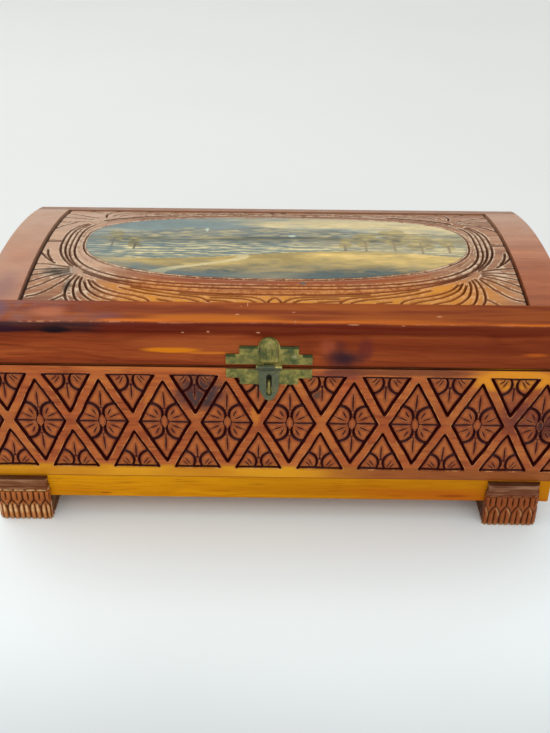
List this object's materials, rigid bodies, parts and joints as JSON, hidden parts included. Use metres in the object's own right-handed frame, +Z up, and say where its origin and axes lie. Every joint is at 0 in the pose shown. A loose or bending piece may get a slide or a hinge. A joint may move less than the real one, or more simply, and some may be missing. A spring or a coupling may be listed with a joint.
{
  "type": "jewelry box",
  "caption": "Long wooden box with a domed hinged lid, carved lid panel with an oval picture, carved lattice front, carved feet and a stepped brass hasp.",
  "frame": {"origin": "centre of the box's bounding footprint, on the surface it stands on", "axes": "+X along the length to the right seen from the front, +Y from front to back, +Z up; the clasp is on the -Y side"},
  "size_m": [0.28, 0.1614, 0.1194],
  "materials": {
    "cedar_sapwood": "varnished pale sapwood",
    "cedar_lattice": "varnished carved red heartwood with dark grooves",
    "cedar_feet": "varnished carved brown cedar",
    "cedar_carved_panel": "worn varnish over shallow carving",
    "cedar_walls": "varnished red cedar",
    "cedar_lid": "varnished red cedar",
    "picture": "varnished print",
    "tarnished_brass": "tarnished",
    "steel": "dull"
  },
  "bodies": {
    "body": {"bottom_board": "cedar_sapwood", "front_board": "cedar_lattice", "back_board": "cedar_walls", "left_end_board": "cedar_walls", "right_end_board": "cedar_walls", "front_left_foot": "cedar_feet", "front_right_foot": "cedar_feet", "rear_left_foot": "cedar_feet", "rear_right_foot": "cedar_feet", "foot_nails": "steel", "staple_plate": "tarnished_brass", "staple": "tarnished_brass", "staple_plate_tacks": "tarnished_brass", "left_hinge_body_leaf": "tarnished_brass", "right_hinge_body_leaf": "tarnished_brass", "hinge_body_screws": "steel"},
    "lid": {"lid_front_rail": "cedar_lid", "lid_back_rail": "cedar_lid", "lid_left_end": "cedar_lid", "lid_right_end": "cedar_lid", "lid_top_panel": "cedar_carved_panel", "picture_print": "picture", "hasp_plate": "tarnished_brass", "hasp_plate_tacks": "tarnished_brass", "hasp_pin": "tarnished_brass", "left_hinge_lid_leaf": "tarnished_brass", "right_hinge_lid_leaf": "tarnished_brass", "left_hinge_pin": "steel", "right_hinge_pin": "steel", "hinge_lid_screws": "steel"},
    "hasp": {"hasp_tongue": "tarnished_brass"}
  },
  "joints": [
    {"name": "lid_hinge", "type": "hinge", "parent": "body", "child": "lid", "pos_m": [0, 0.0736, 0.08985], "axis": [-1, 0, 0], "range_deg": [0, 100]},
    {"name": "hasp_hinge", "type": "hinge", "parent": "lid", "child": "hasp", "pos_m": [-0.0015, -0.078, 0.0906], "axis": [-1, 0, 0], "range_deg": [0, 170]}
  ]
}
